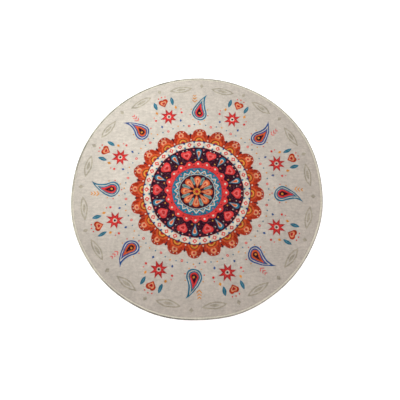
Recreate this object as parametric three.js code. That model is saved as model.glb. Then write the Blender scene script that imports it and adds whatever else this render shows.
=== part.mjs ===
// A round short-pile rug with a serged edge, lying flat on a floor with its pile up.
// Millimetres, +Z up. The origin is on the floor, under the middle of the rug.
//
// The rug is two pieces: the cut disc of pile fabric, and the bead of yarn that is
// whipped round its rim. The fabric's rim is pressed thin where the yarn wraps it.
import * as THREE from "three";

// Driving dimensions
const RUG_RADIUS = 500; // to the outside of the bead, on average
const PILE_TOP = 8; // floor to the tips of the pile
const BEAD_WIDTH = 11; // across the whipped yarn
const BEAD_HEIGHT = 7.2; // floor to the crown of the yarn
const YARN_WALL = 1.7; // how thick the yarn lies round the rim
const FIT_GAP = 0.3; // between the fabric and the yarn

// How finely the shapes are faceted
const TURNS = 120; // facets round the rug
const FIELD_RINGS = 12; // rings of facets from the centre to the shoulder of the pile
const BEAD_STEPS = 10; // facets round the outside of the bead
const SHOULDER_STEPS = 4;

// The cut is not a true circle. Each row is one set of lobes: how many there are,
// how far they stand out (mm) and the direction of the first one (degrees).
const CUT_LOBES = [
  { lobes: 2, rise: 2.2, turn: 46 },
  { lobes: 4, rise: 0.65, turn: 31 },
  { lobes: 7, rise: 0.85, turn: -13 },
  { lobes: 8, rise: 0.5, turn: -21 },
  { lobes: 11, rise: 0.4, turn: -6 },
  { lobes: 12, rise: 0.35, turn: -12 },
];

// The pile is not quite level. Each row is one low wave across the rug: its length
// and height (mm), the direction it runs (degrees) and where it starts (degrees).
const PILE_WAVES = [
  { length: 610, height: 0.3, heading: 20, phase: 40 },
  { length: 430, height: 0.25, heading: 115, phase: 200 },
  { length: 270, height: 0.2, heading: 68, phase: 310 },
  { length: 190, height: 0.12, heading: 160, phase: 90 },
];

const radians = THREE.MathUtils.degToRad;

// The fabric's plan sizes, worked inwards from the bead
const fabricRadius = RUG_RADIUS - BEAD_WIDTH - FIT_GAP;
const tongueRadius = RUG_RADIUS - YARN_WALL - FIT_GAP;
const tongueBottom = YARN_WALL + FIT_GAP;
const tongueTop = BEAD_HEIGHT - YARN_WALL - FIT_GAP;
const shoulderRadius = PILE_TOP - tongueTop;

// How much further out than average the cut runs in one direction
function cutRise(angle) {
  return CUT_LOBES.reduce(
    (sum, row) =>
      sum + row.rise * Math.cos(row.lobes * (angle - radians(row.turn))),
    0,
  );
}

// How far above its average height the pile is at one place
function pileRise(x, y) {
  return PILE_WAVES.reduce((sum, row) => {
    const heading = radians(row.heading);
    const along = x * Math.cos(heading) + y * Math.sin(heading);
    const turn = (2 * Math.PI * along) / row.length + radians(row.phase);
    return sum + row.height * Math.sin(turn);
  }, 0);
}

// Turns a closed profile of [radius, height] points round the Z axis, then gives it the
// uneven cut and the uneven pile. The flat underside stays flat.
function turnedAndUneven(profile) {
  const points = profile.map(([radius, height]) => new THREE.Vector2(radius, height));
  const geometry = new THREE.LatheGeometry(points, TURNS);
  geometry.rotateX(Math.PI / 2);
  const place = geometry.getAttribute("position");
  for (let i = 0; i < place.count; i++) {
    const angle = Math.atan2(place.getY(i), place.getX(i));
    const spread = 1 + cutRise(angle) / RUG_RADIUS;
    const x = place.getX(i) * spread;
    const y = place.getY(i) * spread;
    const lift = 1 + pileRise(x, y) / PILE_TOP;
    place.setXYZ(i, x, y, place.getZ(i) * lift);
  }
  geometry.computeVertexNormals();
  return geometry;
}

// The disc of pile fabric: flat below, a thin tongue at the rim, a rounded shoulder, and
// the pile face in rings
function fieldProfile() {
  const shoulder = [];
  for (let i = 0; i <= SHOULDER_STEPS; i++) {
    const angle = (Math.PI / 2) * (i / SHOULDER_STEPS);
    shoulder.push([
      fabricRadius - shoulderRadius + shoulderRadius * Math.cos(angle),
      tongueTop + shoulderRadius * Math.sin(angle),
    ]);
  }
  const face = [];
  const faceEdge = fabricRadius - shoulderRadius;
  for (let i = FIELD_RINGS - 1; i >= 0; i--)
    face.push([(faceEdge * i) / FIELD_RINGS, PILE_TOP]);
  return [
    [0, 0],
    [fabricRadius, 0],
    [fabricRadius, tongueBottom],
    [tongueRadius, tongueBottom],
    [tongueRadius, tongueTop],
    ...shoulder,
    ...face,
  ];
}

// The bead of whipped yarn: an oval section, open inwards where it holds the tongue
function beadProfile() {
  const lip = RUG_RADIUS - BEAD_WIDTH;
  const middle = RUG_RADIUS - BEAD_WIDTH / 2;
  const outside = [];
  for (let i = 0; i <= BEAD_STEPS; i++) {
    const angle = Math.PI * (i / BEAD_STEPS) - Math.PI / 2;
    outside.push([
      middle + (BEAD_WIDTH / 2) * Math.cos(angle),
      (BEAD_HEIGHT / 2) * (1 + Math.sin(angle)),
    ]);
  }
  const slotEnd = tongueRadius + FIT_GAP;
  const slotBottom = tongueBottom - FIT_GAP;
  const slotTop = tongueTop + FIT_GAP;
  const lipBottom = [lip, YARN_WALL / 4];
  const lipTop = [lip, BEAD_HEIGHT - YARN_WALL / 4];
  return [
    lipBottom,
    ...outside,
    lipTop,
    [lip, slotTop],
    [slotEnd, slotTop],
    [slotEnd, slotBottom],
    [lip, slotBottom],
    lipBottom,
  ];
}

const pileMaterial = new THREE.MeshStandardMaterial({
  color: new THREE.Color(0.6, 0.55, 0.47),
  roughness: 0.95,
  metalness: 0,
});
const yarnMaterial = new THREE.MeshStandardMaterial({
  color: new THREE.Color(0.62, 0.57, 0.44),
  roughness: 0.8,
  metalness: 0,
});

const rugField = new THREE.Mesh(turnedAndUneven(fieldProfile()), pileMaterial);
rugField.name = "rug_field";

const edgeSerging = new THREE.Mesh(turnedAndUneven(beadProfile()), yarnMaterial);
edgeSerging.name = "edge_serging";

const rug = new THREE.Group();
rug.add(rugField, edgeSerging);

export default rug;
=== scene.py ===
"""A round short-pile rug with a serged edge, its pile printed with a folk medallion.

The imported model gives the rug's place and size. Its fabric becomes a ground cloth with
rows of cut tufts standing on it, and its edge becomes whipped yarn. Sizes are in metres,
except in the print, which is drawn in millimetres round the middle of the rug.
"""

import math

import bpy
import numpy as np
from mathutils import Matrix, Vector


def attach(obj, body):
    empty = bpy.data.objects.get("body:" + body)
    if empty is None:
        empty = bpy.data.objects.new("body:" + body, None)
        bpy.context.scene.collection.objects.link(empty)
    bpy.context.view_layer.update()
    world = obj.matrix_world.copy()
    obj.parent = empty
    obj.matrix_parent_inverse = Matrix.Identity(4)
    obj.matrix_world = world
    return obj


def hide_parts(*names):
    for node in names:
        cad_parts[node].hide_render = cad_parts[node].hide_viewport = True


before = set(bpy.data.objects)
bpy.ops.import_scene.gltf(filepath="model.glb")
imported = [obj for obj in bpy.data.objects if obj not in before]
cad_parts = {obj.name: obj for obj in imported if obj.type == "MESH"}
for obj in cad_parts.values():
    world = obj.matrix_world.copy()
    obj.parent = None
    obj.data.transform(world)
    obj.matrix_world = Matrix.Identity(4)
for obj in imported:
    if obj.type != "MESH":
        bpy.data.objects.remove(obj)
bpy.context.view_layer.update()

# The rug's own sizes, the same as its solids have
RUG_RADIUS = 0.500
PILE_TOP = 0.008
BEAD_WIDTH = 0.011
BEAD_HEIGHT = 0.0072
FIT_GAP = 0.0003
FIELD_RADIUS = RUG_RADIUS - BEAD_WIDTH - FIT_GAP

# The uneven cut: how many lobes, how far they stand out (m), where the first one points
CUT_LOBES = [
    (2, 0.0022, math.radians(46)),
    (4, 0.00065, math.radians(31)),
    (7, 0.00085, math.radians(-13)),
    (8, 0.0005, math.radians(-21)),
    (11, 0.0004, math.radians(-6)),
    (12, 0.00035, math.radians(-12)),
]

# The uneven pile: each low wave's length and height (m), its heading and where it starts
PILE_WAVES = [
    (0.610, 0.0003, math.radians(20), math.radians(40)),
    (0.430, 0.00025, math.radians(115), math.radians(200)),
    (0.270, 0.0002, math.radians(68), math.radians(310)),
    (0.190, 0.00012, math.radians(160), math.radians(90)),
]

# The tufts
PILE_REACH = FIELD_RADIUS + 0.0028  # the pile's face runs on into the bead
SHOULDER_WIDTH = 0.0045  # the yarn pulls the pile's rim down
SHOULDER_DROP = 0.0018
SHOULDER_END = 1.2  # of the shoulder's width, past which the pile drops no further
TUFT_PITCH = 0.0020
TUFT_DEPTH = 0.0009
DEPTH_RANGE = (0.7, 1.3)  # of that depth
ROW_SHIFT = 0.5  # of the pitch at most, from one row to the next
ROW_ROOM = 1.1  # columns for each row, so that shifted rows still reach the rim
TIP_JITTER = 0.20  # of the pitch
HOLLOW_JITTER = 0.28  # of the pitch too
TIP_SPREAD = 0.00014  # how unevenly long the tufts are cut
STRAY_SIZES = (0.016, 0.034)  # the rows wander in waves this long
STRAY_REACH = 0.0006
LUMP_SIZES = (0.008, 0.022)  # the pile lies in low lumps this far apart
LUMP_HEIGHT = 0.00016
RANDOM_WAVES = 16
STRIPS = ("pile_near", "pile_near_middle", "pile_far_middle", "pile_far")

# The ground cloth under the tufts
GROUND_RADIUS = FIELD_RADIUS + 0.0008  # its rim just meets the inside of the bead
GROUND_TOP = 0.003
GROUND_TURNS = 180
GROUND_RINGS = 16
WEAVE_PITCH = 0.0022

# The yarn whipped round the edge
STITCHES = 1280
SAMPLES = 5  # facets across one stitch
YARN_COLUMNS = STITCHES * SAMPLES
SECTION_STEPS = 13  # facets round the bead
GROOVE = 0.0007  # depth between two stitches
PULL_DEPTH = 0.0003  # how much deeper the tightest stitch lies than the loosest
STITCH_SLANT = 0.75  # stitches that each one passes on its way over the crown
STRANDS_ACROSS = 2  # strands of yarn across one stitch
STRANDS_ALONG = 18  # and that cross its middle on its way round the bead
YARN_ROWS = 8  # the bead's bake layout is folded into this many rows
YARN_MARGIN = 0.04  # of a row, left bare at each of its edges

# Painted shade on the yarn's outer side: a darker colour that stands in for the shadow along the
# rug's rim. Its strength has lobes round the rim, as the cut has.
OUTER_SHADE_STRENGTH = 0.70  # on average, where 1 would hide the yarn's own colour
OUTER_SHADE_LOBES = [
    (1, 0.06, math.radians(0)),
    (2, 0.09, math.radians(-66)),
    (3, 0.06, math.radians(9)),
    (4, 0.06, math.radians(-18)),
    (5, 0.05, math.radians(32)),
]

# Where the painted shade fades in, from the yarn's inner side at -1 over its crown at 0 to its
# outer side at 1, and how much further in it lies in some directions
OUTER_SHADE_START = -0.40
OUTER_SHADE_FULL = 0.15
OUTER_SHADE_REACH = [
    (1, 0.45, math.radians(148)),
    (3, 0.08, math.radians(50)),
]

# The print, in millimetres
MILLIMETRE = 0.001
PRINT_TURN = math.radians(-2.5)  # the print is a little askew on the cut disc
INK_EDGE = 0.7  # how far an ink fades on each side of its outline
FAINT_STRENGTH = 0.85  # how much of their ink the faint leaves and diamonds have

# How the print's outlines waver, as if drawn by hand: each wave's height, how far it turns
# with each millimetre of x and of y, and where it starts (radians)
WAVER_X = [
    (0.45, 0, 1 / 9.1, 0.6),
    (0.3, 1 / 5.3, 1 / 5.3, 2.1),
    (0.8, 1 / 37, -2 / 37, 0),
]
WAVER_Y = [
    (0.45, 1 / 8.3, 0, 1.9),
    (0.3, 1 / 6.1, -1 / 6.1, 0.4),
    (0.8, 2 / 41, 1 / 41, 0),
]

# Where the medallion's bands end
ROSETTE_EDGE = 71
TEAL_EDGE = 99
CORAL_EDGE = 119
PLUM_EDGE = 185
CREAM_EDGE = 212
RUST_EDGE = 243

# How far out the larger motifs lie, from the print's middle
PETAL_REACH = 39
HEART_REACH = 155
BEAD_REACH = 281
STAR_REACH = 342
PAISLEY_REACH = 364
OUTER_HEART_REACH = 406
FAINT_LEAF_REACH = 449

# How often the motifs are repeated round the middle
PETALS = 8
HEARTS = 10
SCALLOPS = 20
LOZENGES = 32
STARS = 8
FAINT_LEAVES = 16

# The paisleys, with an arc of dots round the bowl
PAISLEY_SIZE = (62, 114)
BOWL_DOTS = 7
BOWL_DOT_REACH = 38  # from the bowl's middle
BOWL_DOT_START = math.radians(-205)
BOWL_DOT_STEP = math.radians(38)

# How the heart and the paisley are drawn
HEART_WIDTH = 1.207  # of a heart that is 1 high from its point to its notch
HEART_MIDDLE = 0.55  # the height of its middle
HEART_LOBE = math.sqrt(2) / 4  # the radius of each of its lobes
PAISLEY_CURL = 1.9  # 0 would lean a paisley evenly, and more curls its point over late
PAISLEY_END = 1.2  # of its height, where the curl stops
PAISLEY_SLOPE = 0.9  # its outline leans, so it is nearer than it is straight across

# The pile's tone, where 1 leaves its colour as it is (sizes in metres)
# painted shade: darker in the hollows between tufts and lighter at their tips
HOLLOW_SHADE = 0.84
TIP_LIGHT = 1.05
TUFT_TONE = 0.07  # how much lighter or darker a tuft may be
GRAIN_TONE = 0.06  # and a cloud of the grain, which changes the roughness too
GRAIN_SIZE = 0.0085
GRAIN_STRETCH = (1.5, 1, 1)

# Clouds of lighter and darker tone: each one's size, its stretch along x, y and z, and how
# much lighter and darker it gets
PILE_CLOUDS = [
    (0.17, (1, 1, 1), 0.02),
    (0.045, (1, 1, 1), 0.025),
    (0.018, (1, 1.5, 1), 0.03),
    (0.0045, (8, 1, 1), 0.03),
    (0.0045, (1, 20, 1), 0.015),
]
BACKING_CLOUDS = [
    (0.06, (1, 1, 1), 0.06),
    (0.002, (15, 1, 1), 0.07),
]
YARN_CLOUDS = [(0.05, (1, 1, 1), 0.05)]

# The yarn's tone, in the same way as the pile's
STITCH_TONE = 0.08  # how much lighter or darker a stitch may be
# painted shade in the grooves between stitches
GROOVE_SHADE = 0.75
OUTER_SHADE_CLOUD_SIZE = 0.03
OUTER_SHADE_CLOUD_DEPTH = 0.2  # how much more or less painted shade a cloud has

# How evenly the ink took: broad clouds of more and less ink, and specks of fibre that took
# little of it
WASH_SIZE = 0.016
WASH_START = 0.1  # how strong the noise is where the ink begins to darken
WASH_RANGE = (-0.06, 0.18)  # how much the clouds darken the ink
SPECK_SIZE = 0.0045
SPECK_START = 0.6  # how strong the noise is where a speck begins
SPECK_SHARE = 0.11  # how much of its own colour a speck shows at most

# The print's inks, as they look in plain white light (display red, green and blue)
INKS = {
    "bare": (192, 185, 174),
    "cream": (207, 199, 182),
    "rust": (168, 49, 19),
    "dark_rust": (124, 33, 16),
    "orange": (199, 84, 39),
    "peach": (212, 142, 102),
    "ochre": (205, 136, 52),
    "plum": (47, 6, 28),
    "teal": (21, 104, 131),
    "coral": (204, 53, 52),
    "red": (168, 32, 33),
    "pink": (210, 94, 91),
    "cobalt": (21, 75, 134),
    "seafoam": (107, 142, 138),
    "sage": (163, 158, 139),
}

# Other colours, as the light that each one reflects
SPECK = (0.52, 0.30, 0.31, 1)
YARN_CREAM = (0.65, 0.63, 0.515, 1)
# painted shade for the yarn's outer side
OUTER_SHADE_COLOUR = (0.15, 0.142, 0.115, 1)
BACKING = (0.363, 0.327, 0.272)
FLOOR = (0.93, 0.93, 0.93, 1)

# The photograph's view of it
CAMERA_ELEVATION = math.radians(74.8)
CAMERA_DISTANCE = 2.0
CAMERA_LENS = 45.4
CAMERA_TARGET = (0.0123, -0.0331, 0.0)

# The light
KEY_AZIMUTH = math.radians(132)
KEY_ELEVATION = math.radians(66)
KEY_DISTANCE = 2.1
KEY_SIZE = 0.8
KEY_SPREAD = math.radians(42)
KEY_AIM = (-0.217, 0.245, 0.0)
KEY_POWER = 2.4
KEY_COLOUR = (0.94, 1.0, 0.99)
ROOM_COLOUR = (1.0, 0.935, 0.94, 1.0)
ROOM_LIGHT = 1.07
FLOOR_SIZE = 30.0
FLOOR_LEVEL = -0.0002  # just under the rug's flat back
FLOOR_GLOW = 0.3

random = np.random.default_rng(2013)


# Shared shapes

def lobed(angle, rows):
    """How far a set of lobes stands out in each direction."""
    return sum(rise * np.cos(lobes * (angle - turn)) for lobes, rise, turn in rows)


def waved(x, y, waves):
    """How high a set of waves stands at each place."""
    total = np.zeros_like(x)
    for length, height, heading, start in waves:
        along = x * math.cos(heading) + y * math.sin(heading)
        total += height * np.sin(2 * math.pi * along / length + start)
    return total


def random_waves(sizes, height):
    """Waves in all directions, in rows like PILE_WAVES, about height high in all."""
    share = height * math.sqrt(2 / RANDOM_WAVES)
    return [
        (random.uniform(*sizes), share, *random.uniform(0, 2 * math.pi, 2))
        for _ in range(RANDOM_WAVES)
    ]


def uneven(points):
    """Gives points of a true, level disc the rug's uneven cut and pile."""
    x, y, z = points.T
    spread = 1 + lobed(np.arctan2(y, x), CUT_LOBES) / RUG_RADIUS
    x, y = x * spread, y * spread
    return np.stack([x, y, z * (1 + waved(x, y, PILE_WAVES) / PILE_TOP)], 1)


def new_piece(name, points, faces, bake, material):
    """A smooth mesh that rides on the rug. bake lays its corners out flat for the export."""
    mesh = bpy.data.meshes.new(name)
    mesh.from_pydata(points.tolist(), [], faces)
    if bake is not None:
        layout = mesh.uv_layers.new(name="OFBake")
        layout.uv.foreach_set("vector", bake.astype(np.float32).ravel())
    mesh.shade_smooth()
    mesh.materials.append(material)
    piece = bpy.data.objects.new(name, mesh)
    bpy.context.scene.collection.objects.link(piece)
    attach(piece, "root")
    return piece


def store(piece, name, values):
    """Keeps one number for each point of a piece's mesh, for its material to read."""
    layer = piece.data.attributes.new(name, "FLOAT", "POINT")
    layer.data.foreach_set("value", np.asarray(values, np.float32))


# The print's shapes. Each gives the distance in millimetres from its own outline to the
# places u across and v up from its middle, and is negative inside.

def disc(u, v, radius):
    return np.hypot(u, v) - radius


def half_disc(u, v, radius):
    """The upper half of a disc."""
    return np.maximum(disc(u, v, radius), -v)


def hoop(u, v, radius, half_width):
    """A line drawn round a circle."""
    return np.abs(disc(u, v, radius)) - half_width


def lens(u, v, half_width, half_height):
    """A pointed oval: two arcs that meet at its top and bottom."""
    offset = (half_height**2 - half_width**2) / (2 * half_width)
    return np.hypot(np.abs(u) + offset, v) - offset - half_width


def drop(u, v, width, height):
    """A teardrop, its round end up."""
    bulge = width / 2
    reach = height - bulge
    lean = bulge / reach
    rise = math.sqrt(1 - lean**2)
    side = np.abs(u)
    down = height / 2 - bulge - v
    along = down * rise - side * lean
    round_end = np.hypot(side, down) - bulge
    flank = side * rise + down * lean - bulge
    point = np.hypot(side, down - reach)
    return np.where(along < 0, round_end, np.where(along > rise * reach, point, flank))


def heart(u, v, width):
    """A heart, its point at the bottom: a square on its corner, with lobes on its upper sides."""
    unit = width / HEART_WIDTH
    side = np.abs(u) / unit
    rise = v / unit + HEART_MIDDLE
    lobe = np.hypot(side - 1 / 4, rise - 3 / 4) - HEART_LOBE
    along = np.maximum(side + rise, 0) / 2
    nearest = np.minimum(np.hypot(side, rise - 1), np.hypot(side - along, rise - along))
    return np.where(side + rise > 1, lobe, nearest * np.sign(side - rise)) * unit


def diamond(u, v, half_width, half_height):
    """A diamond, standing up."""
    reach = np.abs(u) / half_width + np.abs(v) / half_height
    return (reach - 1) * half_width * half_height / math.hypot(half_width, half_height)


def bar(u, v, half_length, half_width):
    """A bar with round ends, standing up."""
    return np.hypot(u, np.maximum(np.abs(v) - half_length, 0)) - half_width


def star(u, v, points, outer, inner):
    """A star with a point up. Its points reach to outer, and its notches to inner."""
    step = math.pi / points
    reach = np.hypot(u, v)
    fold = np.abs((np.arctan2(u, v) + step) % (2 * step) - step)
    edge_u, edge_v = inner * math.sin(step), inner * math.cos(step) - outer
    across, up = reach * np.sin(fold), reach * np.cos(fold) - outer
    return (up * edge_u - across * edge_v) / math.hypot(edge_u, edge_v)


def chevron(u, v, half_width, slope, half_thickness):
    """A V, its point at the bottom."""
    arm = np.abs(v - np.abs(u) * slope) / math.hypot(1, slope) - half_thickness
    return np.maximum(arm, np.abs(u) - half_width)


def paisley(u, v, width, height, lean):
    """A drop whose point stands up and curls over by lean."""
    rise = np.clip(v / height + 1 / 2, 0, PAISLEY_END)
    shift = PAISLEY_CURL * rise**3 - (PAISLEY_CURL - 1) * rise
    return PAISLEY_SLOPE * drop(u - lean * shift, -v, width, height)


# The print

def linear(colour):
    """A display colour as the light it reflects, by the sRGB standard."""
    share = np.asarray(colour, float) / 255
    return np.where(share <= 0.04045, share / 12.92, ((share + 0.055) / 1.055) ** 2.4)


class Print:
    """Inks laid one over another at places on the pile."""

    def __init__(self, x, y):
        turned_x = x * math.cos(PRINT_TURN) + y * math.sin(PRINT_TURN)
        turned_y = y * math.cos(PRINT_TURN) - x * math.sin(PRINT_TURN)
        self.x = turned_x + self.waver(turned_x, turned_y, WAVER_X)
        self.y = turned_y + self.waver(turned_x, turned_y, WAVER_Y)
        self.reach = np.hypot(self.x, self.y)
        self.angle = np.arctan2(self.y, self.x)
        self.colour = np.tile(linear(INKS["bare"]), (len(x), 1))
        self.inked = np.zeros(len(x))

    @staticmethod
    def waver(x, y, waves):
        """How far an unsteady hand strays at each place."""
        return sum(
            height * np.sin(x * turn_x + y * turn_y + start)
            for height, turn_x, turn_y, start in waves
        )

    def lay(self, distance, ink, strength=1.0):
        """Covers what lies inside an outline with an ink."""
        share = np.clip(1 / 2 - distance / (2 * INK_EDGE), 0, 1)
        eased = share**2 * (3 - 2 * share)
        cover = strength * eased
        self.colour += cover[:, None] * (linear(INKS[ink]) - self.colour)
        self.inked = np.maximum(self.inked, cover)

    def band(self, inner, outer, ink):
        """A ring of ink between two distances from the middle."""
        self.lay(np.maximum(inner - self.reach, self.reach - outer), ink)

    def around(self, count, reach, start):
        """Each place as seen from the nearest of count motifs: across it and outwards."""
        step = 2 * math.pi / count
        turn = self.angle - math.radians(start)
        turn -= np.round(turn / step) * step
        return -self.reach * np.sin(turn), self.reach * np.cos(turn) - reach

    def ring(self, count, reach, start, shape, sizes, ink):
        """A motif repeated round the middle, with the first one at start degrees."""
        u, v = self.around(count, reach, start)
        self.lay(shape(u, v, *sizes), ink)

    def pairs(self, count, reach, start, spread, shape, sizes, ink):
        """A motif on each side of every one of count directions."""
        for side in (-spread, spread):
            self.ring(count, reach, start + side, shape, sizes, ink)


def between(count):
    """The direction halfway from the first of count motifs to the next, in degrees."""
    return 180 / count


def print_rosette(p):
    """Eight petals on plum at the middle."""
    gap = between(PETALS)
    p.lay(p.reach - ROSETTE_EDGE, "plum")
    p.ring(PETALS, PETAL_REACH + 8, gap, lens, (8.2, 18.5), "seafoam")
    p.ring(PETALS, PETAL_REACH + 8, gap, bar, (10, 1.0), "plum")
    p.ring(PETALS, PETAL_REACH, 0, drop, (27, 50), "orange")
    p.ring(PETALS, PETAL_REACH + 0.5, 0, drop, (17, 36), "peach")
    p.ring(PETALS, PETAL_REACH + 0.5, 0, drop, (7, 19), "red")
    p.lay(p.reach - 14.5, "ochre")
    p.lay(p.reach - 7, "red")
    p.ring(PETALS, 10.8, gap, disc, (1.6,), "plum")


def print_teal_band(p):
    """A zigzag with dots in its teeth, one for each scallop."""
    p.band(ROSETTE_EDGE, TEAL_EDGE, "teal")
    p.band(ROSETTE_EDGE - 1, ROSETTE_EDGE + 1.6, "cream")
    p.ring(SCALLOPS, ROSETTE_EDGE + 18, 0, chevron, (14.5, -1.15, 1.5), "cream")
    p.ring(SCALLOPS, ROSETTE_EDGE + 8.5, 0, disc, (2.7,), "ochre")
    p.ring(SCALLOPS, ROSETTE_EDGE + 21.5, between(SCALLOPS), disc, (2.7,), "coral")


def print_coral_band(p):
    """Coral scallops that lap over the plum."""
    p.ring(SCALLOPS, CORAL_EDGE - 5, 0, disc, (14.5,), "coral")
    p.band(TEAL_EDGE - 1, CORAL_EDGE, "coral")
    p.band(TEAL_EDGE - 1, TEAL_EDGE + 2.6, "red")
    p.ring(SCALLOPS, CORAL_EDGE - 2, 0, disc, (3.9,), "cream")
    p.ring(SCALLOPS, CORAL_EDGE - 9.5, between(SCALLOPS), disc, (2.4,), "plum")


def print_heart_band(p):
    """Hearts and drops on plum."""
    gap = between(HEARTS)
    p.band(TEAL_EDGE, PLUM_EDGE, "plum")
    p.ring(HEARTS, HEART_REACH, 0, heart, (43,), "coral")
    p.ring(HEARTS, HEART_REACH - 0.4, 0, heart, (28,), "pink")
    p.ring(HEARTS, HEART_REACH - 0.6, 0, heart, (15,), "red")
    p.ring(HEARTS, HEART_REACH, gap, drop, (23, 49), "teal")
    p.ring(HEARTS, HEART_REACH + 0.5, gap, drop, (14, 32), "cream")
    p.ring(HEARTS, HEART_REACH + 0.5, gap, drop, (10.5, 26), "orange")
    p.pairs(HEARTS, PLUM_EDGE - 9, gap, 6.6, disc, (3.1,), "pink")
    p.pairs(HEARTS, PLUM_EDGE - 7, 0, 2.6, disc, (2.1,), "cream")
    p.pairs(HEARTS, HEART_REACH + 5, gap, 7.0, disc, (1.9,), "cream")
    p.pairs(HEARTS, HEART_REACH - 21, gap, 5.6, disc, (2.8,), "ochre")


def print_cream_band(p):
    """Lozenges on cream."""
    gap = between(LOZENGES)
    p.band(PLUM_EDGE, CREAM_EDGE, "cream")
    p.band(PLUM_EDGE - 1.6, PLUM_EDGE + 1.2, "red")
    p.ring(LOZENGES, PLUM_EDGE + 14, 0, diamond, (9.8, 10), "coral")
    p.ring(LOZENGES, PLUM_EDGE + 14, 0, diamond, (4.0, 4.4), "cream")
    p.ring(LOZENGES, CREAM_EDGE - 2.5, gap, diamond, (4.9, 6.2), "cobalt")
    p.ring(LOZENGES, PLUM_EDGE + 3.6, gap, diamond, (4.9, 6.2), "teal")
    p.band(CREAM_EDGE - 1, CREAM_EDGE + 2, "plum")


def print_rust_scallops(p):
    """The broad scalloped rim of the medallion, with arches along its foot."""
    gap = between(SCALLOPS)
    p.ring(SCALLOPS, RUST_EDGE - 5, 0, disc, (29.5,), "rust")
    p.band(CREAM_EDGE - 7, RUST_EDGE, "rust")
    p.ring(SCALLOPS, RUST_EDGE - 4, 0, hoop, (23, 1.3), "dark_rust")
    p.ring(SCALLOPS, RUST_EDGE + 3, 0, disc, (11.2,), "peach")
    p.ring(SCALLOPS, RUST_EDGE + 3, 0, disc, (4.8,), "red")
    p.ring(SCALLOPS, RUST_EDGE + 18, 0, disc, (1.9,), "cream")
    p.pairs(SCALLOPS, RUST_EDGE + 15.5, 0, 2.9, disc, (1.9,), "cream")
    p.ring(SCALLOPS, RUST_EDGE - 7, gap, drop, (7.2, 22), "plum")
    for radius, ink in ((26, "orange"), (19, "dark_rust"), (15, "ochre"), (8.5, "red")):
        p.ring(SCALLOPS, CREAM_EDGE + 1, 0, half_disc, (radius,), ink)
    p.ring(SCALLOPS, CREAM_EDGE + 8, gap, disc, (2.9,), "cream")


def print_beads(p):
    """Beads strung in arcs round the medallion."""
    gap = between(SCALLOPS)
    p.ring(SCALLOPS, BEAD_REACH, gap, disc, (5.0,), "coral")
    p.ring(SCALLOPS, BEAD_REACH, gap, disc, (1.9,), "cream")
    p.pairs(SCALLOPS, BEAD_REACH + 5, 0, 4.6, disc, (2.7,), "teal")
    p.ring(SCALLOPS, BEAD_REACH + 9, 0, disc, (3.1,), "ochre")


def print_paisley(p, start, lean, body, core, accent):
    """One paisley and its opposite, with dots round the bowl and chevrons at the tip."""
    side = math.copysign(1, lean)
    u, v = p.around(2, PAISLEY_REACH, start)
    outline = paisley(u, v, *PAISLEY_SIZE, lean)
    p.lay(outline, body)
    p.lay(np.abs(outline + 6.6) - 1.3, "cream")
    p.lay(outline + 12.5, core)
    p.lay(outline + 18.5, "plum")
    p.lay(disc(u + 3.6 * side, v + 25, 4.4), "ochre")
    for step in range(BOWL_DOTS):
        angle = BOWL_DOT_START + BOWL_DOT_STEP * step
        dot_u = BOWL_DOT_REACH * math.cos(angle) - 5.8 * side
        dot_v = BOWL_DOT_REACH * math.sin(angle) - 26.5
        p.lay(disc(u - dot_u, v - dot_v, 2.5), ("ochre", "coral")[step % 2])
    for step in range(3):
        half_width = 10 - 1.8 * step
        p.lay(chevron(u + 27 * side, v - 24 - 12.5 * step, half_width, 0.9, 1.9), accent)


def print_paisleys(p):
    """Paisleys all round, each leaning the other way from its neighbours."""
    for start in (0, 90):
        print_paisley(p, start, 25, "teal", "coral", "ochre")
        print_paisley(p, start + 45, -25, "cobalt", "orange", "pink")


def print_stars(p):
    """Eight-pointed stars with a heart beyond each."""
    gap = between(STARS)
    p.ring(STARS, STAR_REACH, gap, star, (8, 37, 18), "red")
    p.ring(STARS, STAR_REACH, gap, star, (8, 25, 12), "coral")
    p.ring(STARS, STAR_REACH, gap, disc, (8.6,), "cream")
    p.ring(STARS, STAR_REACH, gap, disc, (4.6,), "plum")
    p.ring(STARS, OUTER_HEART_REACH, gap, heart, (39,), "rust")
    p.ring(STARS, OUTER_HEART_REACH - 0.4, gap, heart, (24,), "peach")
    p.ring(STARS, OUTER_HEART_REACH - 0.6, gap, heart, (13,), "red")
    p.pairs(STARS, OUTER_HEART_REACH - 1, gap, 5.1, lens, (7.2, 19), "teal")
    p.pairs(STARS, OUTER_HEART_REACH - 1, gap, 5.1, bar, (11, 0.9), "seafoam")
    p.pairs(STARS, OUTER_HEART_REACH - 32, gap, 6.4, diamond, (5.8, 8), "ochre")
    p.pairs(STARS, STAR_REACH - 31, gap, 7.6, diamond, (4.9, 6.6), "cobalt")
    p.pairs(STARS, STAR_REACH + 4, gap, 9.3, disc, (4.6,), "coral")
    p.pairs(STARS, STAR_REACH + 19, gap, 9.3, disc, (2.7,), "pink")
    p.pairs(STARS, OUTER_HEART_REACH + 27, gap, 1.9, disc, (2.9,), "coral")
    p.ring(STARS, OUTER_HEART_REACH + 30, gap, disc, (2.9,), "coral")


def print_faint_ring(p):
    """Leaves and diamonds hardly darker than the ground, near the rim."""
    u, v = p.around(FAINT_LEAVES, FAINT_LEAF_REACH, between(FAINT_LEAVES))
    outline = lens(v, u, 15, 50)
    p.lay(np.abs(outline + 3.4) - 2.7, "sage", FAINT_STRENGTH)
    p.lay(lens(v, u, 5.5, 21), "sage", FAINT_STRENGTH)
    u, v = p.around(FAINT_LEAVES, FAINT_LEAF_REACH + 12, 0)
    p.lay(diamond(u, v, 8, 11), "sage", FAINT_STRENGTH)


def printed(x, y):
    """The print's colour at each place, and how much of it is ink."""
    p = Print(x / MILLIMETRE, y / MILLIMETRE)
    print_faint_ring(p)
    print_beads(p)
    print_stars(p)
    print_paisleys(p)
    print_rust_scallops(p)
    print_cream_band(p)
    print_heart_band(p)
    print_coral_band(p)
    print_teal_band(p)
    print_rosette(p)
    return p.colour, p.inked


# The pile

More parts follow.
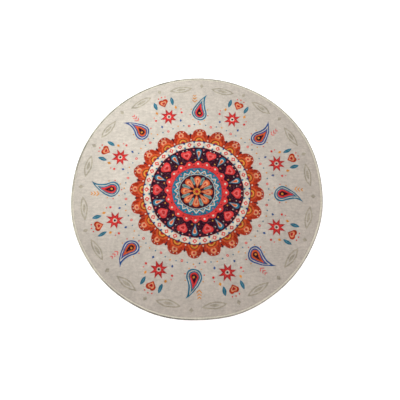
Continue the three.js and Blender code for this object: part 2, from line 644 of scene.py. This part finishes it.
def level_top(x, y):
    """The height of the pile's face on a true, level disc: flat, with a rounded shoulder."""
    past_face = np.hypot(x, y) - (FIELD_RADIUS - SHOULDER_WIDTH)
    drop_share = np.clip(past_face / SHOULDER_WIDTH, 0, SHOULDER_END) ** 2
    return PILE_TOP - SHOULDER_DROP * drop_share


def tuft_rows():
    """The tufts' tips and the hollows between them, each as a grid of points."""
    rows = math.ceil(PILE_REACH / TUFT_PITCH)
    columns = math.ceil(ROW_ROOM * rows)
    column, row = np.meshgrid(np.arange(-columns, columns + 1), np.arange(-rows, rows + 1))
    shift = random.uniform(-ROW_SHIFT, ROW_SHIFT, (len(row), 1)).cumsum(0)
    hollows = np.stack([column + shift, row], 2) * TUFT_PITCH
    tips = (hollows[:-1, :-1] + hollows[1:, 1:]) / 2
    stray_x = random_waves(STRAY_SIZES, STRAY_REACH)
    stray_y = random_waves(STRAY_SIZES, STRAY_REACH)
    lumps = random_waves(LUMP_SIZES, LUMP_HEIGHT)

    def settled(plan, jitter, height):
        """Points of a level grid, scattered, strayed and lifted as the pile lies."""
        plan = plan + random.uniform(-jitter, jitter, plan.shape) * TUFT_PITCH
        x, y = plan[:, :, 0], plan[:, :, 1]
        x, y = x + waved(x, y, stray_x), y + waved(x, y, stray_y)
        return np.stack([x, y, level_top(x, y) + waved(x, y, lumps) + height], 2)

    tips = settled(tips, TIP_JITTER, random.normal(0, TIP_SPREAD, tips.shape[:2]))
    depth = TUFT_DEPTH * random.uniform(*DEPTH_RANGE, hollows.shape[:2])
    hollows = settled(hollows, HOLLOW_JITTER, -depth)
    inside = np.hypot(tips[:, :, 0], tips[:, :, 1]) < PILE_REACH
    return tips, hollows, inside


def dye(piece, points, is_tip):
    """Keeps the print, which points are tips, and a tone of its own for each tip."""
    colour, inked = printed(points[:, 0], points[:, 1])
    layer = piece.data.attributes.new("print", "FLOAT_COLOR", "POINT")
    layer.data.foreach_set("color", np.insert(colour, 3, 1, 1).astype(np.float32).ravel())
    store(piece, "inked", inked)
    store(piece, "height", is_tip)
    store(piece, "tone", np.where(is_tip, random.uniform(0, 1, len(points)), 1 / 2))


def pile_strip(name, tips, hollows, inside, first_row, last_row, material):
    """One strip of the pile's face: each tuft is a tip with four sides down to its hollows."""
    row, column = np.nonzero(inside[first_row:last_row])
    row += first_row
    width = hollows.shape[1]
    near = row * width + column
    far = near + width
    corners = np.stack([near, near + 1, far + 1, far], 1)
    used, corners = np.unique(corners, return_inverse=True)
    corners = corners.reshape(-1, 4)
    tip = len(used) + np.arange(len(row))
    sides = [np.stack([tip, corners[:, i], corners[:, (i + 1) % 4]], 1) for i in range(4)]
    faces = np.concatenate(sides)
    points = uneven(np.concatenate([hollows.reshape(-1, 3)[used], tips[row, column]]))

    plan = points[:, :2] - points[:, :2].min(0)
    plan /= plan.max(0)
    piece = new_piece(name, points, faces.tolist(), plan[faces], material)
    dye(piece, points, np.arange(len(points)) >= len(used))
    return piece


def pile(material):
    """The whole pile, in strips that each hold a like number of tufts."""
    tips, hollows, inside = tuft_rows()
    so_far = np.cumsum(inside.sum(1))
    shares = np.arange(len(STRIPS) + 1) / len(STRIPS)
    rows = np.searchsorted(so_far, shares * so_far[-1])
    return [
        pile_strip(name, tips, hollows, inside, first_row, last_row, material)
        for name, first_row, last_row in zip(STRIPS, rows[:-1], rows[1:])
    ]


# The ground cloth

def ground(material):
    """A flat disc of cloth, in rings of points up from its underside and back over its top."""
    across = GROUND_RADIUS * np.arange(1, GROUND_RINGS + 1) / GROUND_RINGS
    radius = np.concatenate([across, across[::-1]])
    height = np.repeat([0.0, GROUND_TOP], GROUND_RINGS)
    angle = 2 * math.pi * np.arange(GROUND_TURNS) / GROUND_TURNS
    x = np.outer(radius, np.cos(angle)).ravel()
    y = np.outer(radius, np.sin(angle)).ravel()
    points = np.stack([x, y, np.repeat(height, GROUND_TURNS)], 1)
    points = uneven(np.concatenate([points, [[0, 0, 0], [0, 0, GROUND_TOP]]]))

    ring, turn = np.meshgrid(np.arange(len(radius) - 1), np.arange(GROUND_TURNS), indexing="ij")
    here = (ring * GROUND_TURNS + turn).ravel()
    beside = (ring * GROUND_TURNS + (turn + 1) % GROUND_TURNS).ravel()
    quads = np.stack([here, beside, beside + GROUND_TURNS, here + GROUND_TURNS], 1)
    first = np.arange(GROUND_TURNS)
    last = first + (len(radius) - 1) * GROUND_TURNS
    bottom_middle, top_middle = len(points) - 2, len(points) - 1
    bottom = np.stack([np.full_like(first, bottom_middle), np.roll(first, -1), first], 1)
    top = np.stack([np.full_like(last, top_middle), last, np.roll(last, -1)], 1)
    faces = [*quads.tolist(), *bottom.tolist(), *top.tolist()]
    piece = new_piece("rug_ground", points, faces, None, material)
    return piece


# The yarn whipped round the edge

def yarn_faces(column, step):
    """The bead's facets. The last column meets the first, and the last step the first step."""
    next_column = (column + 1) % YARN_COLUMNS
    next_step = (step + 1) % SECTION_STEPS
    corners = [(column, step), (next_column, step), (next_column, next_step), (column, next_step)]
    return np.stack([c * SECTION_STEPS + s for c, s in corners], 2).reshape(-1, 4)


def yarn_layout(column, step):
    """The corners of the bead's facets laid out flat, in rows one above another."""
    row_length = YARN_COLUMNS / YARN_ROWS
    row = column // row_length
    corners = []
    for right, up in ((0, 0), (1, 0), (1, 1), (0, 1)):
        u = (column - row * row_length + right) / row_length
        across_row = YARN_MARGIN + (1 - 2 * YARN_MARGIN) * (step + up) / SECTION_STEPS
        corners.append(np.stack([u, (row + across_row) / YARN_ROWS], 2))
    return np.stack(corners, 2).reshape(-1, 4, 2)


def serging(material):
    """The bead, as a grid: columns run along the rim and steps go round its section."""
    column, step = np.meshgrid(np.arange(YARN_COLUMNS), np.arange(SECTION_STEPS), indexing="ij")
    stitch = column // SAMPLES
    across = column % SAMPLES / SAMPLES
    around = 2 * math.pi * step / SECTION_STEPS
    pull = random.uniform(-1, 1, STITCHES)[stitch]
    dip = 1 - np.sqrt(1 - (2 * across - 1) ** 2)
    sunk = GROOVE * dip + PULL_DEPTH * (1 + pull) / 2
    slant = STITCH_SLANT * np.cos(around) / 2
    turn = 2 * math.pi * (column / SAMPLES + slant) / STITCHES
    middle = RUG_RADIUS - BEAD_WIDTH / 2
    radius = middle + (BEAD_WIDTH / 2 - sunk) * np.cos(around)
    height = BEAD_HEIGHT / 2 + (BEAD_HEIGHT / 2 - sunk) * np.sin(around)
    points = np.stack([radius * np.cos(turn), radius * np.sin(turn), height], 2)
    points = uneven(points.reshape(-1, 3))

    faces = yarn_faces(column, step).tolist()
    piece = new_piece("edge_yarn", points, faces, yarn_layout(column, step), material)
    store(piece, "across", across.ravel())
    store(piece, "along", (around / (2 * math.pi)).ravel())
    # where painted shade darkens the yarn's outer side, and how strongly
    store(piece, "outward", (np.cos(around) + lobed(turn, OUTER_SHADE_REACH)).ravel())
    store(piece, "outer_shade_strength", (OUTER_SHADE_STRENGTH + lobed(turn, OUTER_SHADE_LOBES)).ravel())
    store(piece, "tone", random.uniform(0, 1, STITCHES)[stitch].ravel())
    return piece


# Materials

NOISE_RANGE = (0.3, 0.7)  # nearly all of Blender's noise lies between these
BAND_SPACING = 2 * math.pi / 20  # between Blender's bands at a scale of 1

# The colour sockets of Blender's Mix node
MIX_FIRST = 6
MIX_SECOND = 7
MIX_RESULT = 2


class Look:
    """A cloth material, whose nodes are added one by one."""

    def __init__(self, name):
        self.material = bpy.data.materials.new(name)
        self.material.use_nodes = True
        self.tree = self.material.node_tree
        self.shader = self.tree.nodes["Principled BSDF"]
        self.place = self.node("TexCoord").outputs["Object"]

    def node(self, kind, **settings):
        """Adds a node with some of its settings changed."""
        added = self.tree.nodes.new("ShaderNode" + kind)
        for name, value in settings.items():
            setattr(added, name, value)
        return added

    def feed(self, socket, value):
        """Links an output to a socket, or sets the socket to a number or colour."""
        if isinstance(value, bpy.types.NodeSocket):
            self.tree.links.new(value, socket)
        else:
            socket.default_value = value

    def set(self, **values):
        """Sets or links sockets of the shader, named with _ for a space."""
        for name, value in values.items():
            self.feed(self.shader.inputs[name.replace("_", " ")], value)

    def attribute(self, name, output="Fac"):
        """What a mesh keeps under a name."""
        return self.node("Attribute", attribute_name=name).outputs[output]

    def math(self, operation, first, second=0.0):
        """One operation on one or two amounts."""
        node = self.node("Math", operation=operation)
        self.feed(node.inputs[0], first)
        self.feed(node.inputs[1], second)
        return node.outputs[0]

    def noise(self, size, stretch=(1, 1, 1), detail=2.0):
        """Cloudy noise from 0 to 1, its clouds about size metres across."""
        scaled = self.node("Mapping")
        scaled.inputs["Scale"].default_value = [1 / (size * share) for share in stretch]
        self.feed(scaled.inputs["Vector"], self.place)
        noise = self.node("TexNoise")
        noise.inputs["Scale"].default_value = 1.0
        noise.inputs["Detail"].default_value = detail
        self.feed(noise.inputs["Vector"], scaled.outputs[0])
        return self.span(noise.outputs["Fac"], *NOISE_RANGE, 0, 1)

    def waves(self, size, direction):
        """Bands from 0 to 1, size metres apart."""
        wave = self.node("TexWave", bands_direction=direction)
        wave.inputs["Scale"].default_value = BAND_SPACING / size
        self.feed(wave.inputs["Vector"], self.place)
        return wave.outputs["Fac"]

    def span(self, value, low, high, new_low, new_high):
        """Stretches the range low to high of a value to a new range, and clamps it."""
        node = self.node("MapRange", interpolation_type="SMOOTHSTEP")
        for name, number in zip(
            ("Value", "From Min", "From Max", "To Min", "To Max"),
            (value, low, high, new_low, new_high),
        ):
            self.feed(node.inputs[name], number)
        return node.outputs[0]

    def varied(self, value, amount):
        """Turns a value from 0 to 1 into a tone from amount below 1 to amount above it."""
        return self.span(value, 0, 1, 1 - amount, 1 + amount)

    def shade(self, colour, amount):
        """A colour made lighter or darker by an amount."""
        node = self.node("VectorMath", operation="SCALE")
        self.feed(node.inputs[0], colour)
        self.feed(node.inputs["Scale"], amount)
        return node.outputs[0]

    def blend(self, share, first, second):
        """The first colour where the share is 0, and the second where it is 1."""
        node = self.node("Mix", data_type="RGBA")
        self.feed(node.inputs["Factor"], share)
        self.feed(node.inputs[MIX_FIRST], first)
        self.feed(node.inputs[MIX_SECOND], second)
        return node.outputs[MIX_RESULT]

    def bump(self, height, depth):
        """Shades the surface as if it stood up by depth where the height is 1."""
        node = self.node("Bump")
        node.inputs["Distance"].default_value = depth
        self.feed(node.inputs["Height"], height)
        self.feed(self.shader.inputs["Normal"], node.outputs[0])

    def product(self, *amounts):
        """The amounts multiplied together."""
        total = amounts[0]
        for amount in amounts[1:]:
            total = self.math("MULTIPLY", total, amount)
        return total

    def clouds(self, rows):
        """The tone that several clouds give together."""
        return self.product(
            *[self.varied(self.noise(size, stretch), amount) for size, stretch, amount in rows]
        )


def pile_look():
    """Short cut pile: printed, with painted shade in its hollows and painted light at its tips,
    mottled and a little streaky.
    """
    look = Look("printed pile")
    grain = look.noise(GRAIN_SIZE, GRAIN_STRETCH)
    tone = look.product(
        # painted shade down in the hollows, painted light at the tips
        look.span(look.attribute("height"), 0, 1, HOLLOW_SHADE, TIP_LIGHT),
        look.varied(look.attribute("tone"), TUFT_TONE),
        look.clouds(PILE_CLOUDS),
        look.varied(grain, GRAIN_TONE),
    )
    inked = look.attribute("inked")
    wash = look.span(look.noise(WASH_SIZE, detail=4.0), WASH_START, 1, *WASH_RANGE)
    strength = look.math("SUBTRACT", 1.0, look.product(wash, inked))
    specks = look.span(look.noise(SPECK_SIZE, detail=1.0), SPECK_START, 1, 0, SPECK_SHARE)
    ink = look.shade(look.attribute("print", "Color"), strength)
    ink = look.blend(look.product(specks, inked), ink, SPECK)
    look.set(
        Base_Color=look.shade(ink, tone),
        Roughness=look.span(grain, 0, 1, 0.86, 0.98),
        Specular_IOR_Level=0.06,
        Sheen_Weight=0.04,
        Sheen_Roughness=0.5,
        Sheen_Tint=(1.0, 0.97, 0.92, 1.0),
    )
    look.bump(look.noise(0.0005, detail=3.0), 0.0003)
    return look.material


def ground_look():
    """Plain woven backing, greige and a little darker than the pile."""
    look = Look("woven backing")
    crossings = look.product(look.waves(WEAVE_PITCH, "X"), look.waves(WEAVE_PITCH, "Y"))
    weave = look.span(crossings, 0, 0.6, 0, 1)
    tone = look.product(look.span(weave, 0, 1, 0.7, 1.05), look.clouds(BACKING_CLOUDS))
    look.set(
        Base_Color=look.shade(BACKING, tone),
        Roughness=look.span(weave, 0, 1, 0.98, 0.85),
        Specular_IOR_Level=0.2,
    )
    look.bump(weave, 0.0005)
    return look.material


def serging_look():
    """Overlock yarn, cream, with fine strands, painted shade in its grooves and painted shade on
    its outer side.
    """
    look = Look("overlock yarn")
    twist = look.product(look.attribute("across"), 2 * math.pi * STRANDS_ACROSS)
    lean = look.product(look.attribute("along"), 2 * math.pi * STRANDS_ALONG)
    strands = look.math("SINE", look.math("ADD", twist, lean))
    off_middle = look.math("ABSOLUTE", look.math("SUBTRACT", look.attribute("across"), 0.5))
    # painted shade over the yarn's outer side
    outer_shade = look.product(
        look.span(look.attribute("outward"), OUTER_SHADE_START, OUTER_SHADE_FULL, 0, 1),
        look.attribute("outer_shade_strength"),
        look.varied(look.noise(OUTER_SHADE_CLOUD_SIZE, detail=4.0), OUTER_SHADE_CLOUD_DEPTH),
    )
    tone = look.product(
        look.varied(look.attribute("tone"), STITCH_TONE),
        look.clouds(YARN_CLOUDS),
        # painted shade towards the grooves between stitches
        look.span(off_middle, 0.25, 0.5, 1, GROOVE_SHADE),
        look.span(strands, -1, 1, 0.95, 1.03),
    )
    look.set(
        Base_Color=look.shade(look.blend(outer_shade, YARN_CREAM, OUTER_SHADE_COLOUR), tone),
        Roughness=look.span(strands, -1, 1, 0.85, 0.7),
        Specular_IOR_Level=0.3,
        Sheen_Weight=0.2,
        Sheen_Roughness=0.4,
    )
    look.bump(strands, 0.00012)
    return look.material


# The studio

def make_floor():
    """A plain white floor, bright enough to show no edge against the room."""
    half = FLOOR_SIZE / 2
    mesh = bpy.data.meshes.new("floor")
    corners = [(-half, -half), (half, -half), (half, half), (-half, half)]
    mesh.from_pydata([(x, y, FLOOR_LEVEL) for x, y in corners], [], [(0, 1, 2, 3)])
    look = Look("pale floor")
    look.set(
        Base_Color=FLOOR,
        Roughness=look.span(look.noise(0.4), 0, 1, 0.75, 0.85),
        Specular_IOR_Level=0.1,
        Emission_Color=(1.0, 1.0, 1.0, 1.0),
        Emission_Strength=FLOOR_GLOW,
    )
    mesh.materials.append(look.material)
    floor = bpy.data.objects.new("floor", mesh)
    bpy.context.scene.collection.objects.link(floor)


def make_lights():
    """A soft box to the far left of the rug, and a pale room."""
    lamp = bpy.data.lights.new("soft box", "AREA")
    lamp.shape = "DISK"
    lamp.size = KEY_SIZE
    lamp.spread = KEY_SPREAD
    lamp.energy = KEY_POWER
    lamp.color = KEY_COLOUR
    key = bpy.data.objects.new("soft box", lamp)
    flat = math.cos(KEY_ELEVATION)
    key.location = KEY_DISTANCE * Vector(
        (flat * math.cos(KEY_AZIMUTH), flat * math.sin(KEY_AZIMUTH), math.sin(KEY_ELEVATION))
    )
    key.rotation_euler = (key.location - Vector(KEY_AIM)).to_track_quat("Z", "Y").to_euler()
    bpy.context.scene.collection.objects.link(key)

    world = bpy.data.worlds.new("room")
    world.use_nodes = True
    background = world.node_tree.nodes["Background"]
    background.inputs["Color"].default_value = ROOM_COLOUR
    background.inputs["Strength"].default_value = ROOM_LIGHT
    bpy.context.scene.world = world


def make_camera():
    """Looks down on the rug from its near side, as the photograph does."""
    camera = bpy.data.objects.new("camera", bpy.data.cameras.new("camera"))
    camera.data.lens = CAMERA_LENS
    back = Vector((0, -math.cos(CAMERA_ELEVATION), math.sin(CAMERA_ELEVATION)))
    camera.location = Vector(CAMERA_TARGET) + back * CAMERA_DISTANCE
    camera.rotation_euler = (math.pi / 2 - CAMERA_ELEVATION, 0, 0)
    bpy.context.scene.collection.objects.link(camera)
    bpy.context.scene.camera = camera
    bpy.context.scene.view_settings.view_transform = "Standard"


make_camera()
make_lights()
make_floor()

tufts = pile(pile_look())
cloth = ground(ground_look())
bead = serging(serging_look())
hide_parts("edge_serging")
for piece in [*tufts, cloth]:
    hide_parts("rug_field")
